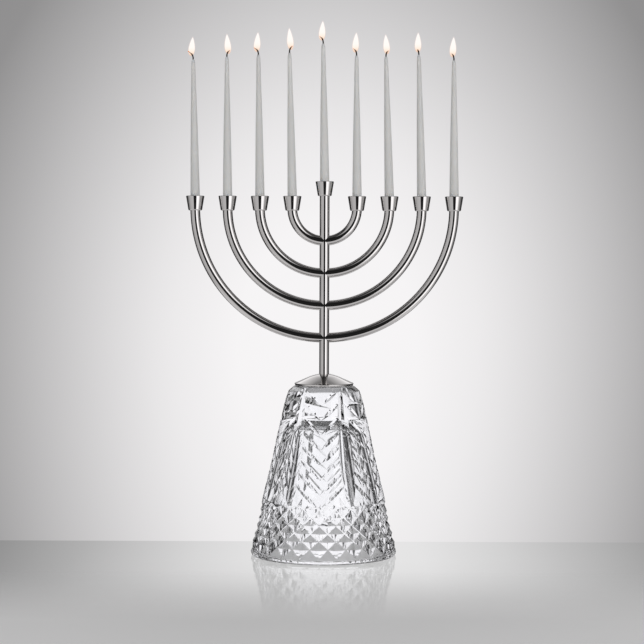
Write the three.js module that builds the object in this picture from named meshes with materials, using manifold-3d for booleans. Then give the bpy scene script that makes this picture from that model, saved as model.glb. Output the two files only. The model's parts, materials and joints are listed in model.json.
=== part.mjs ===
// Nine-light menorah: a hollow cut-crystal cone with a low metal dome on top, a stem with four concentric
// U-shaped arms, nine conical cups and nine lit, tapered candles.
// Millimetres, +Z up. The origin is the centre of the crystal's foot, the arms lie in the XZ plane and
// the front faces -Y. Azimuths are degrees from -Y towards +X.
import * as THREE from 'three';
import { mergeVertices } from 'three/addons/utils/BufferGeometryUtils.js';
import Module from 'manifold-3d';

const wasm = await Module();
wasm.setup();

// ---- driving dimensions ----
const GAP = 0.3;

const TUBE_RADIUS = 5;
const ARM_PITCH = 33;
const ARM_COUNT = 4;
const ARM_CENTRE_Z = 354.5;
const STEPS_PER_ARM = [14, 18, 22, 26];
const ARM_SIDES = 12;

const CUP_BOTTOM_Z = 352;
const CENTRE_CUP_RISE = 15;
const CUP_HEIGHT = 15;
const CUP_TOP_RADIUS = 9.4;
const CUP_BOTTOM_RADIUS = 7;
const SOCKET_RADIUS = 5.3;
const SOCKET_DEPTH = 10;
const CUP_SIDES = 16;
const RECESS_DEPTH = ARM_CENTRE_Z - CUP_BOTTOM_Z + GAP;

const ROD_RADIUS = 2.5;
const ROD_HOLE_RADIUS = ROD_RADIUS + GAP;
const ROD_HEAD_RADIUS = 4.2;
const SCREW_RADIUS = 1.5;
const SCREW_HEAD_RADIUS = 2.75;
const SCREW_LENGTH = 8;
const HEAD_SINK = 0.1;

const CRYSTAL_TOP_Z = 173;
const CRYSTAL_COLUMNS = 48;
const PANEL_COUNT = 6;
const PANEL_AZIMUTH = -4;
// the hollow's wall, as [radius, z], from its rounded ceiling down to the open foot
const CAVITY_CEILING_Z = 139;
const CAVITY_WALL = [[13, CAVITY_CEILING_Z - 0.6], [26, 134], [33, 121.5], [61, 0]];
const DIAMOND_BOTTOM_Z = 4.5;
const DIAMOND_ROW_PITCH = 7.9;
const DIAMOND_ROWS = 7;
const LOWEST_ROW_EXTRA = 2;
const DIAMOND_DEPTH = 3;
const CONE_TILT = 12.8;
// outer surface of the cone above the foot, as [radius, z]
const CONE_OUTLINE = [
  [74.5, 4.5], [72.4, 16], [66.9, 36], [62.8, 57], [53.3, 97], [44.4, 138], [39.4, 159], [36.2, 168.5],
];

const LEAF_ROWS = 8;
const LEAF_FIRST_Z = 53.85;
const LEAF_PITCH = 14.57;
const LEAF_RISE = 43;
const LEAF_HALF_WIDTH = 2.1;
const LEAF_DEPTH = 1.5;
const LEAF_OVERRUN = 4.5;
const FLUTE_TIP_Z = 56.6;
const FLUTE_WIDEST_Z = 102;
const FLUTE_REACH_UP = 111;
const FLUTE_HALF_WIDTH = 8;
const FLUTE_DEPTH = 4.6;

const CAP_RIM_RADIUS = 30.25;
const CAP_RIM_BOTTOM_Z = 173.6;
const CAP_RIM_TOP_Z = 176;
const CAP_APEX_Z = 185.5;
const CAP_WALL = 1.2;
const CAP_SEAT_RADIUS = 5.5;
const CAP_SHOULDER = [11, 184.55];

const CANDLE_RADIUS = 4.75;
const CANDLE_TIP_RADIUS = 1.6;
const CANDLE_SIDES = 12;
const CANDLE_LENGTHS = [148, 151, 153, 155, 149.5, 152.5, 151.5, 153.5, 148];
const CANDLE_LEANS = [0.9, 0.4, 0.75, 1.25, 0.8, 0.4, 1.6, 1.45, 0.4];
const CANDLE_FLOOR_GAP = 0.35;
const WICK_RADIUS = 0.75;
const WICK_BURIED = 3.5;
// where each wick's burnt tip curls to, as [sideways, up] from the candle's tip
const WICK_TIPS = [
  [-5.4, 8.1], [3.5, 6.2], [-4.5, 6.8], [3.7, 6.7], [-3.7, 7.3],
  [-3.5, 6.9], [3.2, 5.9], [-1.8, 5.9], [-3.1, 7.3],
];

// ---- materials ----
const CRYSTAL = material(0xeef2f4, 0.03, 0);
const SATIN_METAL = material(0xb4b4b3, 0.28, 1);
const STEEL = material(0x9fa3a6, 0.35, 1);
const ADHESIVE = material(0xdfe0dc, 0.4, 0);
const WAX = material(0xe6e4df, 0.55, 0);
const CHARRED = material(0x1d1a17, 0.95, 0);

function material(color, roughness, metalness) {
  return new THREE.MeshStandardMaterial({ color, roughness, metalness });
}

// ---- helpers ----
const radians = THREE.MathUtils.degToRad;

// A closed geometry as a solid: shared vertices are merged and the empty triangles on the axis dropped.
function solidOf(geometry) {
  const bare = geometry.clone();
  bare.deleteAttribute('normal');
  bare.deleteAttribute('uv');
  const merged = mergeVertices(bare, 1e-3);
  const index = merged.index.array;
  const triVerts = [];
  for (let i = 0; i < index.length; i += 3) {
    const corners = [index[i], index[i + 1], index[i + 2]];
    if (new Set(corners).size === 3) triVerts.push(...corners);
  }
  return new wasm.Manifold(new wasm.Mesh({
    numProp: 3,
    vertProperties: merged.attributes.position.array,
    triVerts: new Uint32Array(triVerts),
  }));
}

function geometryOf(solid) {
  const mesh = solid.getMesh();
  const geometry = new THREE.BufferGeometry();
  geometry.setAttribute('position', new THREE.BufferAttribute(new Float32Array(mesh.vertProperties), 3));
  geometry.setIndex(new THREE.BufferAttribute(new Uint32Array(mesh.triVerts), 1));
  geometry.computeVertexNormals();
  return geometry;
}

// A profile of [radius, z] points, turned about Z; it runs anticlockwise round the material.
function lathe(profile, sides, startAzimuth = 0) {
  const points = profile.map(([radius, z]) => new THREE.Vector2(radius, z));
  return new THREE.LatheGeometry(points, sides, radians(startAzimuth)).rotateX(Math.PI / 2);
}

function ring(innerRadius, outerRadius, bottom, top, sides) {
  const corners = [[innerRadius, bottom], [outerRadius, bottom], [outerRadius, top], [innerRadius, top]];
  return lathe([...corners, corners[0]], sides);
}

function rod(radius, bottom, top, sides) {
  return lathe([[0, bottom], [radius, bottom], [radius, top], [0, top]], sides);
}

function circleShape(radius, sides) {
  const points = [];
  for (let i = 0; i < sides; i += 1) {
    const angle = (2 * Math.PI * (i + 0.5)) / sides;
    points.push(new THREE.Vector2(radius * Math.cos(angle), radius * Math.sin(angle)));
  }
  return new THREE.Shape(points);
}

function add(parent, name, geometry, look) {
  const mesh = new THREE.Mesh(geometry, look);
  mesh.name = name;
  parent.add(mesh);
  return mesh;
}

// Straight-line interpolation of the cone's outline.
function coneRadius(z) {
  let i = 1;
  while (i < CONE_OUTLINE.length - 1 && CONE_OUTLINE[i][1] < z) i += 1;
  const [lowRadius, lowZ] = CONE_OUTLINE[i - 1];
  const [highRadius, highZ] = CONE_OUTLINE[i];
  return THREE.MathUtils.mapLinear(z, lowZ, highZ, lowRadius, highRadius);
}

// ---- crystal base ----
// The cone with its cavity is one turned grid. In the diamond band, every second grid point is pushed in to
// be a groove crossing, and each cell is split along its groove, which leaves four-sided pyramids.
function crystalBlank() {
  const cavity = [[0, CAVITY_CEILING_Z], ...CAVITY_WALL];
  const foot = [[71.6, 0], [74, 1.7]];
  const firstBandRow = cavity.length + foot.length;
  const profile = [...cavity, ...foot];
  for (let row = 0; row < DIAMOND_ROWS; row += 1) {
    const z = DIAMOND_BOTTOM_Z + row * DIAMOND_ROW_PITCH + (row > 0 ? LOWEST_ROW_EXTRA : 0);
    profile.push([coneRadius(z), z]);
  }
  for (const z of [60, 97, 138, 159, 168.5]) profile.push([coneRadius(z), z]);
  profile.push([31, CRYSTAL_TOP_Z], [0, CRYSTAL_TOP_Z]);

  const grid = lathe(profile, CRYSTAL_COLUMNS, PANEL_AZIMUTH);
  const rows = profile.length;
  const position = grid.attributes.position;
  const index = [];
  for (let column = 0; column <= CRYSTAL_COLUMNS; column += 1) {
    for (let row = 0; row < rows; row += 1) {
      const here = column * rows + row;
      const isCrossing = (column + row - firstBandRow) % 2 === 0;
      const inBand = row >= firstBandRow && row < firstBandRow + DIAMOND_ROWS;
      if (inBand && isCrossing) {
        const scale = 1 - DIAMOND_DEPTH / profile[row][0];
        position.setXY(here, position.getX(here) * scale, position.getY(here) * scale);
      }
      if (column === CRYSTAL_COLUMNS || row === rows - 1) continue;
      const [right, above, across] = [here + rows, here + 1, here + rows + 1];
      if (isCrossing) index.push(here, right, across, here, across, above);
      else index.push(here, right, above, across, above, right);
    }
  }
  grid.setIndex(index);
  return solidOf(grid);
}

// A V-groove cutter lying on the cone: pointed at both ends, widest where it stands on the surface.
function grooveCutter(azimuth, z, halfWidth, depth, reachUp, reachDown, turn) {
  const cutter = new THREE.OctahedronGeometry(1);
  const position = cutter.attributes.position;
  for (let i = 0; i < position.count; i += 1) {
    const up = position.getZ(i);
    const reach = up > 0 ? reachUp : reachDown;
    position.setXYZ(i, position.getX(i) * halfWidth, position.getY(i) * depth, up * reach);
  }
  cutter.rotateY(radians(turn));
  cutter.rotateX(radians(-CONE_TILT));
  cutter.translate(0, -coneRadius(z), z);
  cutter.rotateZ(radians(azimuth));
  return solidOf(cutter);
}

function fluteHalfWidth(z) {
  const below = (z - FLUTE_TIP_Z) / (FLUTE_WIDEST_Z - FLUTE_TIP_Z);
  const above = 1 - (z - FLUTE_WIDEST_Z) / FLUTE_REACH_UP;
  return FLUTE_HALF_WIDTH * Math.max(0, Math.min(below, above));
}

// One leaf of a V pair: from the panel's centre line it rises outwards to the panel's edge.
function leafCutter(panelAzimuth, row, side) {
  const tipZ = LEAF_FIRST_Z + row * LEAF_PITCH;
  const midZ = tipZ + 8;
  const panelHalfWidth = coneRadius(midZ) * radians(180 / PANEL_COUNT) - fluteHalfWidth(midZ);
  const reachAcross = panelHalfWidth + LEAF_OVERRUN;
  const halfLength = reachAcross / 2 / Math.cos(radians(LEAF_RISE));
  const midAzimuth = THREE.MathUtils.radToDeg(reachAcross / 2 / coneRadius(midZ));
  const leafZ = tipZ + halfLength * Math.sin(radians(LEAF_RISE));
  const azimuth = panelAzimuth + side * midAzimuth;
  const turn = side * (90 - LEAF_RISE);
  return grooveCutter(azimuth, leafZ, LEAF_HALF_WIDTH, LEAF_DEPTH, halfLength, halfLength, turn);
}

function crystalBase() {
  let crystal = crystalBlank();
  const panelStep = 360 / PANEL_COUNT;
  const fluteReachDown = (FLUTE_WIDEST_Z - FLUTE_TIP_Z) / Math.cos(radians(CONE_TILT));
  for (let panel = 0; panel < PANEL_COUNT; panel += 1) {
    const azimuth = PANEL_AZIMUTH + panel * panelStep;
    for (let row = 0; row < LEAF_ROWS; row += 1) {
      for (const side of [-1, 1]) crystal = crystal.subtract(leafCutter(azimuth, row, side));
    }
    crystal = crystal.subtract(grooveCutter(
      azimuth + panelStep / 2, FLUTE_WIDEST_Z, FLUTE_HALF_WIDTH, FLUTE_DEPTH, FLUTE_REACH_UP, fluteReachDown, 0,
    ));
  }
  return geometryOf(crystal);
}

// ---- dome cap and what it hides ----
function baseCap() {
  const innerRadius = CAP_RIM_RADIUS - CAP_WALL;
  const innerApexZ = CAP_APEX_Z - CAP_WALL;
  const [shoulderRadius, shoulderZ] = CAP_SHOULDER;
  const profile = [
    [innerRadius, CAP_RIM_BOTTOM_Z], [CAP_RIM_RADIUS, CAP_RIM_BOTTOM_Z], [CAP_RIM_RADIUS, CAP_RIM_TOP_Z],
    [shoulderRadius, shoulderZ], [CAP_SEAT_RADIUS, CAP_APEX_Z], [ROD_HOLE_RADIUS, CAP_APEX_Z],
    [ROD_HOLE_RADIUS, innerApexZ], [CAP_SEAT_RADIUS, innerApexZ], [shoulderRadius, shoulderZ - 1.3],
    [innerRadius, CAP_RIM_TOP_Z - 0.9],
  ];
  return lathe([...profile, profile[0]], 36);
}

function hexNut(acrossFlats, bottom, height) {
  const hexagon = circleShape(acrossFlats / Math.sqrt(3), 6);
  hexagon.holes.push(circleShape(ROD_HOLE_RADIUS, 12));
  return new THREE.ExtrudeGeometry(hexagon, { depth: height, bevelEnabled: false }).translate(0, 0, bottom);
}

function buildCapStack(menorah) {
  const padBottom = CRYSTAL_TOP_Z + GAP;
  const discBottom = padBottom + 0.6 + GAP;
  const washerTop = CAP_APEX_Z - CAP_WALL - GAP;
  const nutTop = washerTop - 1 - GAP;
  add(menorah, 'bond_pad', rod(26, padBottom, padBottom + 0.6, 24), ADHESIVE);
  add(menorah, 'cap_mounting_disc', rod(26.8, discBottom, discBottom + 1.5, 24), STEEL);
  add(menorah, 'base_cap', baseCap(), SATIN_METAL);
  add(menorah, 'rod_washer', ring(ROD_HOLE_RADIUS, 5, washerTop - 1, washerTop, 16), STEEL);
  add(menorah, 'rod_nut', hexNut(8, nutTop - 4, 4), STEEL);
}

// ---- arms and stem ----
class LowerSemicircle extends THREE.Curve {
  constructor(radius) {
    super();
    this.radius = radius;
  }

  getPoint(t, target = new THREE.Vector3()) {
    const angle = Math.PI * (1 + t);
    return target.set(this.radius * Math.cos(angle), 0, ARM_CENTRE_Z + this.radius * Math.sin(angle));
  }
}

function armBar(arm, sectionRadius) {
  const section = circleShape(sectionRadius, ARM_SIDES);
  const path = new LowerSemicircle(ARM_PITCH * arm);
  const options = { steps: STEPS_PER_ARM[arm - 1], extrudePath: path, bevelEnabled: false };
  return solidOf(new THREE.ExtrudeGeometry(section, options));
}

// One bent bar, drilled through for the tie rod and tapped at both ends for the cup screws.
function armGeometry(arm) {
  const radius = ARM_PITCH * arm;
  const crossingZ = ARM_CENTRE_Z - radius;
  let bar = armBar(arm, TUBE_RADIUS);
  const clearance = 2 * TUBE_RADIUS;
  bar = bar.subtract(solidOf(rod(ROD_HOLE_RADIUS, crossingZ - clearance, crossingZ + clearance, 12)));
  const tappedBottom = CUP_BOTTOM_Z + CUP_HEIGHT - SOCKET_DEPTH - SCREW_LENGTH - 2 * GAP;
  for (const side of [-1, 1]) {
    const tapped = rod(SCREW_RADIUS + GAP, tappedBottom, ARM_CENTRE_Z + 1, 8).translate(side * radius, 0, 0);
    bar = bar.subtract(solidOf(tapped));
  }
  return geometryOf(bar);
}

// A spacer tube on the tie rod; its ends are coped to sit on the arms they meet.
function stemSegment(bottom, top, armsMet) {
  let segment = solidOf(ring(ROD_HOLE_RADIUS, TUBE_RADIUS, bottom, top, CUP_SIDES));
  for (const arm of armsMet) segment = segment.subtract(armBar(arm, TUBE_RADIUS + 1.2 * GAP));
  return geometryOf(segment);
}

function buildTree(menorah) {
  const crossings = [];
  for (let arm = ARM_COUNT; arm >= 1; arm -= 1) crossings.push(ARM_CENTRE_Z - ARM_PITCH * arm);
  const stemTop = ARM_CENTRE_Z + CENTRE_CUP_RISE;
  const levels = [CAP_APEX_Z + GAP, ...crossings, stemTop];
  for (let i = 1; i < levels.length; i += 1) {
    const armsMet = [ARM_COUNT + 2 - i, ARM_COUNT + 1 - i].filter((arm) => arm >= 1 && arm <= ARM_COUNT);
    add(menorah, `stem_segment_${i}`, stemSegment(levels[i - 1], levels[i], armsMet), SATIN_METAL);
  }
  for (let arm = 1; arm <= ARM_COUNT; arm += 1) add(menorah, `arm_${arm}`, armGeometry(arm), SATIN_METAL);
}

// ---- cups and their fasteners ----
function cupGeometry(shankRadius, headRadius) {
  const floorZ = CUP_HEIGHT - SOCKET_DEPTH;
  const holeRadius = shankRadius + GAP;
  const sinkRadius = headRadius + HEAD_SINK + GAP * Math.SQRT2;
  const profile = [
    [SOCKET_RADIUS, 0], [CUP_BOTTOM_RADIUS - 0.85, 0], [CUP_BOTTOM_RADIUS, 0.8],
    [CUP_TOP_RADIUS, CUP_HEIGHT - 0.6], [CUP_TOP_RADIUS - 0.45, CUP_HEIGHT],
    [SOCKET_RADIUS, CUP_HEIGHT], [SOCKET_RADIUS, floorZ], [sinkRadius, floorZ],
    [holeRadius, floorZ - (sinkRadius - holeRadius)], [holeRadius, RECESS_DEPTH], [SOCKET_RADIUS, RECESS_DEPTH],
  ];
  return lathe([...profile, profile[0]], CUP_SIDES);
}

// A countersunk fastener whose head's top lies at z = 0.
function countersunk(shankRadius, headRadius, length, sides) {
  const underHead = shankRadius - headRadius;
  return lathe([[0, -length], [shankRadius, -length], [shankRadius, underHead], [headRadius, 0], [0, 0]], sides);
}

function candlestickX(number) {
  return (number - 5) * ARM_PITCH;
}

function cupBottomZ(number) {
  return number === 5 ? CUP_BOTTOM_Z + CENTRE_CUP_RISE : CUP_BOTTOM_Z;
}

function buildCups(menorah) {
  const sideCup = cupGeometry(SCREW_RADIUS, SCREW_HEAD_RADIUS);
  const centreCup = cupGeometry(ROD_RADIUS, ROD_HEAD_RADIUS);
  const screw = countersunk(SCREW_RADIUS, SCREW_HEAD_RADIUS, SCREW_LENGTH, 8);
  for (let number = 1; number <= 9; number += 1) {
    const x = candlestickX(number);
    const bottom = cupBottomZ(number);
    const headTop = bottom + CUP_HEIGHT - SOCKET_DEPTH - HEAD_SINK;
    const cup = add(menorah, `candle_cup_${number}`, number === 5 ? centreCup : sideCup, SATIN_METAL);
    cup.position.set(x, 0, bottom);
    if (number === 5) {
      const rodBottom = CAP_APEX_Z - 8;
      const tieRod = countersunk(ROD_RADIUS, ROD_HEAD_RADIUS, headTop - rodBottom, 12);
      add(menorah, 'tie_rod', tieRod, STEEL).position.set(x, 0, headTop);
    } else {
      add(menorah, `cup_screw_${number}`, screw, STEEL).position.set(x, 0, headTop);
    }
  }
}

// ---- candles ----
function candleGeometry(length) {
  const holeRadius = WICK_RADIUS + GAP;
  return lathe([
    [0, 0], [CANDLE_RADIUS, 0], [CANDLE_RADIUS, 12], [3.6, 78], [2.55, 119], [2.1, length - 9],
    [CANDLE_TIP_RADIUS, length - 1.5], [holeRadius + 0.1, length], [holeRadius, length - 0.4],
    [holeRadius, length - 4], [0, length - 4],
  ], CANDLE_SIDES);
}

function wickGeometry([sideways, up]) {
  const start = new THREE.Vector3(0, 0, -WICK_BURIED);
  const bend = new THREE.Vector3(0, 0, 0.8);
  const path = new THREE.CurvePath();
  path.add(new THREE.LineCurve3(start, bend));
  const upright = new THREE.Vector3(0, 0, 0.75 * up);
  path.add(new THREE.QuadraticBezierCurve3(bend, upright, new THREE.Vector3(sideways, 0, up)));
  return new THREE.ExtrudeGeometry(circleShape(WICK_RADIUS, 6), { steps: 8, extrudePath: path, bevelEnabled: false });
}

// Each candle leans towards -X about the middle of its socket, and its wick leans with it.
function buildCandles(menorah) {
  for (let number = 1; number <= 9; number += 1) {
    const length = CANDLE_LENGTHS[number - 1];
    const socketMiddleZ = cupBottomZ(number) + CUP_HEIGHT - SOCKET_DEPTH / 2;
    const candlestick = new THREE.Group();
    candlestick.position.set(candlestickX(number), 0, socketMiddleZ);
    candlestick.rotation.y = -radians(CANDLE_LEANS[number - 1]);
    menorah.add(candlestick);
    const candleBottom = CANDLE_FLOOR_GAP - SOCKET_DEPTH / 2;
    const wick = wickGeometry(WICK_TIPS[number - 1]);
    add(candlestick, `candle_${number}`, candleGeometry(length), WAX).position.z = candleBottom;
    add(candlestick, `wick_${number}`, wick, CHARRED).position.z = candleBottom + length;
  }
}

const menorah = new THREE.Group();
add(menorah, 'crystal_base', crystalBase(), CRYSTAL);
buildCapStack(menorah);
buildTree(menorah);
buildCups(menorah);
buildCandles(menorah);

export default menorah;
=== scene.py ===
"""Looks of the nine-light menorah: cut-crystal cone, satin metal tree, lit tapered candles.

Shapes are written in millimetres in the frame's own axes (+Z up, arms along X, front towards -Y) and scaled
to metres as each mesh is made. Azimuths run from -Y towards +X.
"""

import json
import math

import bpy
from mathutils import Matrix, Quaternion, Vector


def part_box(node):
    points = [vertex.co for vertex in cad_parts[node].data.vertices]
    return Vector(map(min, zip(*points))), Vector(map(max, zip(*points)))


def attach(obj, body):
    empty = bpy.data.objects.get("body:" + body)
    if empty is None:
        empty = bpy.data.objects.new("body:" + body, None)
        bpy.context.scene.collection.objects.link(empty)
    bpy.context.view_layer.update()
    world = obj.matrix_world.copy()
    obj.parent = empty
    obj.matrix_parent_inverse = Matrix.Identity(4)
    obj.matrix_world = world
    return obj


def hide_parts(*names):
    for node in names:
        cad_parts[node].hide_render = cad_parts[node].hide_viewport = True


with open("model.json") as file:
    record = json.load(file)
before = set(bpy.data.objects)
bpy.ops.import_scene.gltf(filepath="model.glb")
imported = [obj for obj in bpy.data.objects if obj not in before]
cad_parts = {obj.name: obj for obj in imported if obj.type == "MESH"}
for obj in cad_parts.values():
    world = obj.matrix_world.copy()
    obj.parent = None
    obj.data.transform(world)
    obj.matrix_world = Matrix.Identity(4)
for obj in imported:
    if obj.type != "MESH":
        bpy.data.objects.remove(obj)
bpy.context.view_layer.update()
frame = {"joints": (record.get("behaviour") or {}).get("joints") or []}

MM = 0.001
ROOT = "candelabrum"


# ---------------------------------------- places read from the frame, in millimetres
def box_mm(node):
    low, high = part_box(node)
    return low / MM, high / MM


def standing(node):
    """The x of an upright turned part's axis, its bottom and its top."""
    low, high = box_mm(node)
    return (low.x + high.x) / 2, low.z, high.z


STEM_LOW, STEM_HIGH = box_mm("stem_segment_1")
TUBE_RADIUS = (STEM_HIGH.x - STEM_LOW.x) / 2
ARM_NUMBERS = range(1, 5)
# the arms' CAD bars have this many sides, one of them facing straight out
ARM_FACETS = 12
ARM_RADII = [box_mm(f"arm_{arm}")[1].x - TUBE_RADIUS * math.cos(math.pi / ARM_FACETS) for arm in ARM_NUMBERS]
ARM_CENTRE_Z = box_mm("arm_1")[1].z
CRYSTAL_TOP_Z = box_mm("crystal_base")[1].z
CAP_LOW, CAP_HIGH = box_mm("base_cap")
CANDLE_NUMBERS = range(1, 10)
MIDDLE_CANDLE = 5


# ---------------------------------------- mesh helpers
ON_AXIS = 1e-6


def add_mesh(name, vertices, faces, material, sharp_degrees=30.0):
    """A piece from vertices in millimetres; edges sharper than sharp_degrees stay crisp."""
    mesh = bpy.data.meshes.new(name)
    mesh.from_pydata([Vector(v) * MM for v in vertices], [], faces)
    mesh.validate()
    obj = bpy.data.objects.new(name, mesh)
    bpy.context.scene.collection.objects.link(obj)
    mesh.materials.append(material)
    shade(obj, sharp_degrees)
    return obj


def shade(obj, sharp_degrees):
    obj.data.shade_smooth()
    obj.data.set_sharp_from_angle(angle=math.radians(sharp_degrees))


def place(obj, body, slot, *nodes):
    """Says which body a piece moves with and which CAD nodes it stands for; its slot is not used."""
    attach(obj, body)
    if nodes:
        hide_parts(*nodes)


def polar(radius, azimuth, z):
    """A point at an azimuth in radians, counted from -Y towards +X."""
    return Vector((radius * math.sin(azimuth), -radius * math.cos(azimuth), z))


def bend(start, control, end, t):
    """A point of the curve that leaves start and reaches end, both times pointing at control."""
    return start * (1 - t) ** 2 + control * 2 * t * (1 - t) + end * t * t


def rounded(points, radii, steps):
    """A polyline whose corners are rounded: radii[i] is how far the round reaches back from corner i."""
    out = []
    for i, (point, radius) in enumerate(zip(points, radii)):
        here = Vector(point)
        if radius <= 0 or i in (0, len(points) - 1):
            out.append(here)
            continue
        before = Vector(points[i - 1]) - here
        after = Vector(points[i + 1]) - here
        start = here + before.normalized() * radius
        end = here + after.normalized() * radius
        out += [bend(start, here, end, step / steps) for step in range(steps + 1)]
    return [tuple(p) for p in out]


def revolve(profile, sides, centre=(0.0, 0.0), start=0.0):
    """Vertices and faces of a profile of (radius, z) points turned about Z, anticlockwise round the material.
    It starts and ends on the axis, or its last point joins its first."""
    vertices, rings = [], []
    for radius, z in profile:
        first = len(vertices)
        if radius < ON_AXIS:
            vertices.append(Vector((centre[0], centre[1], z)))
            rings.append([first] * sides)
            continue
        for i in range(sides):
            point = polar(radius, start + 2 * math.pi * i / sides, z)
            vertices.append(point + Vector((centre[0], centre[1], 0)))
        rings.append(list(range(first, first + sides)))
    if profile[0][0] > ON_AXIS:
        rings.append(rings[0])
    return vertices, band_faces(rings)


def band_faces(rings):
    """Faces between each ring of vertices and the next, as triangles where a ring is one point."""
    faces = []
    for low, high in zip(rings, rings[1:]):
        sides = len(low)
        for i in range(sides):
            j = (i + 1) % sides
            corners = [low[i], low[j], high[j], high[i]]
            face = [c for k, c in enumerate(corners) if c != corners[k - 1]]
            if len(face) > 2:
                faces.append(face)
    return faces


def capped(rings):
    """Faces of a closed tube: the bands between its rings and its two flat ends."""
    return band_faces(rings) + [list(reversed(rings[0])), rings[-1]]


def sweep(path, sections):
    """A closed tube along a path in an XZ plane. sections[i] lists (across, sideways) offsets at path[i]."""
    vertices, rings = [], []
    for i, point in enumerate(path):
        ahead = path[min(i + 1, len(path) - 1)]
        behind = path[max(i - 1, 0)]
        tangent = (ahead - behind).normalized()
        sideways = Vector((0, 1, 0))
        across = sideways.cross(tangent)
        first = len(vertices)
        for a, s in sections[i]:
            vertices.append(point + across * a + sideways * s)
        rings.append(list(range(first, first + len(sections[i]))))
    return vertices, capped(rings)


def circle(radius, sides):
    angles = [2 * math.pi * i / sides for i in range(sides)]
    return [(radius * math.cos(a), radius * math.sin(a)) for a in angles]


def smooth_curve(points, x):
    """The height at x of a smooth curve through (x, y) points in rising x."""
    i = 1
    while i < len(points) - 1 and points[i][0] < x:
        i += 1

    def slope(k):
        low, high = max(k - 1, 0), min(k + 1, len(points) - 1)
        return (points[high][1] - points[low][1]) / (points[high][0] - points[low][0])

    (x0, y0), (x1, y1) = points[i - 1], points[i]
    h = x1 - x0
    t = (x - x0) / h
    m0, m1 = slope(i - 1) * h, slope(i) * h
    return (
        (2 * t**3 - 3 * t**2 + 1) * y0 + (t**3 - 2 * t**2 + t) * m0
        + (3 * t**2 - 2 * t**3) * y1 + (t**3 - t**2) * m1
    )


def cut(obj, cutters):
    """Subtracts each closed mesh object of cutters from obj, and removes them."""
    for cutter in cutters:
        modifier = obj.modifiers.new("cut", "BOOLEAN")
        modifier.operation = "DIFFERENCE"
        modifier.solver = "MANIFOLD"
        modifier.object = cutter
    bpy.context.view_layer.update()
    depsgraph = bpy.context.evaluated_depsgraph_get()
    result = bpy.data.meshes.new_from_object(obj.evaluated_get(depsgraph))
    obj.modifiers.clear()
    old = obj.data
    obj.data = result
    result.name = obj.name
    bpy.data.meshes.remove(old)
    for cutter in cutters:
        bpy.data.objects.remove(cutter)


# ---------------------------------------- material helpers
def new_material(name):
    material = bpy.data.materials.new(name)
    material.use_nodes = True
    tree = material.node_tree
    return material, tree, tree.nodes["Principled BSDF"]


def noise_texture(tree, scale, detail, stretch=(1.0, 1.0, 1.0)):
    coordinates = tree.nodes.new("ShaderNodeTexCoord")
    mapping = tree.nodes.new("ShaderNodeMapping")
    mapping.inputs["Scale"].default_value = stretch
    noise = tree.nodes.new("ShaderNodeTexNoise")
    noise.inputs["Scale"].default_value = scale
    noise.inputs["Detail"].default_value = detail
    tree.links.new(coordinates.outputs["Object"], mapping.inputs["Vector"])
    tree.links.new(mapping.outputs["Vector"], noise.inputs["Vector"])
    return noise.outputs["Fac"]


def ramp(tree, factor, stops):
    """A colour ramp; stops are (position, colour)."""
    node = tree.nodes.new("ShaderNodeValToRGB")
    elements = node.color_ramp.elements
    while len(elements) < len(stops):
        elements.new(0.5)
    for element, (position, colour) in zip(elements, stops):
        element.position = position
        element.color = (*colour, 1.0)
    tree.links.new(factor, node.inputs["Fac"])
    return node.outputs["Color"]


def grey(value):
    return (value, value, value)


def vary(tree, socket, factor, stops):
    """Feeds a shader's socket from a colour ramp over a factor."""
    tree.links.new(ramp(tree, factor, stops), socket)


def axes(tree, kind):
    """The x, y and z of a texture coordinate."""
    coordinates = tree.nodes.new("ShaderNodeTexCoord")
    split = tree.nodes.new("ShaderNodeSeparateXYZ")
    tree.links.new(coordinates.outputs[kind], split.inputs["Vector"])
    return list(split.outputs)


def levels(tree, value, low, high, stops):
    """A curve of grey levels over a value that runs from low to high; stops are (value, level)."""
    unit = tree.nodes.new("ShaderNodeMapRange")
    unit.inputs["From Min"].default_value = low
    unit.inputs["From Max"].default_value = high
    tree.links.new(value, unit.inputs["Value"])
    unit_stops = [((at - low) / (high - low), grey(level)) for at, level in stops]
    return ramp(tree, unit.outputs["Result"], unit_stops)


def blended(tree, factor, a, b, share=0.5):
    """A mix of two shaders, by a socket or by a fixed share of the second."""
    node = tree.nodes.new("ShaderNodeMixShader")
    node.inputs["Fac"].default_value = share
    if factor:
        tree.links.new(factor, node.inputs["Fac"])
    tree.links.new(a, node.inputs[1])
    tree.links.new(b, node.inputs[2])
    return node.outputs["Shader"]


def add_bump(tree, shader, height, strength, distance):
    bump = tree.nodes.new("ShaderNodeBump")
    bump.inputs["Strength"].default_value = strength
    bump.inputs["Distance"].default_value = distance
    tree.links.new(height, bump.inputs["Height"])
    tree.links.new(bump.outputs["Normal"], shader.inputs["Normal"])


def satin_metal():
    """Bright metal, a little warm, with a very fine grain in how sharply it mirrors."""
    material, tree, shader = new_material("satin_metal")
    shader.inputs["Metallic"].default_value = 1.0
    cloud = noise_texture(tree, 60.0, 3.0)
    vary(tree, shader.inputs["Base Color"], cloud, [(0.3, (0.79, 0.775, 0.765)), (0.7, (0.83, 0.815, 0.805))])
    grain = noise_texture(tree, 3000.0, 3.0)
    vary(tree, shader.inputs["Roughness"], grain, [(0.35, grey(0.034)), (0.65, grey(0.044))])
    return material


def plain_steel():
    """Duller grey steel for the parts that are hidden."""
    material, tree, shader = new_material("plain_steel")
    shader.inputs["Metallic"].default_value = 1.0
    cloud = noise_texture(tree, 250.0, 5.0)
    vary(tree, shader.inputs["Base Color"], cloud, [(0.3, (0.50, 0.51, 0.53)), (0.7, (0.62, 0.63, 0.64))])
    vary(tree, shader.inputs["Roughness"], cloud, [(0.3, grey(0.30)), (0.7, grey(0.42))])
    add_bump(tree, shader, noise_texture(tree, 1500.0, 3.0), 0.1, 0.0001)
    return material


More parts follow.
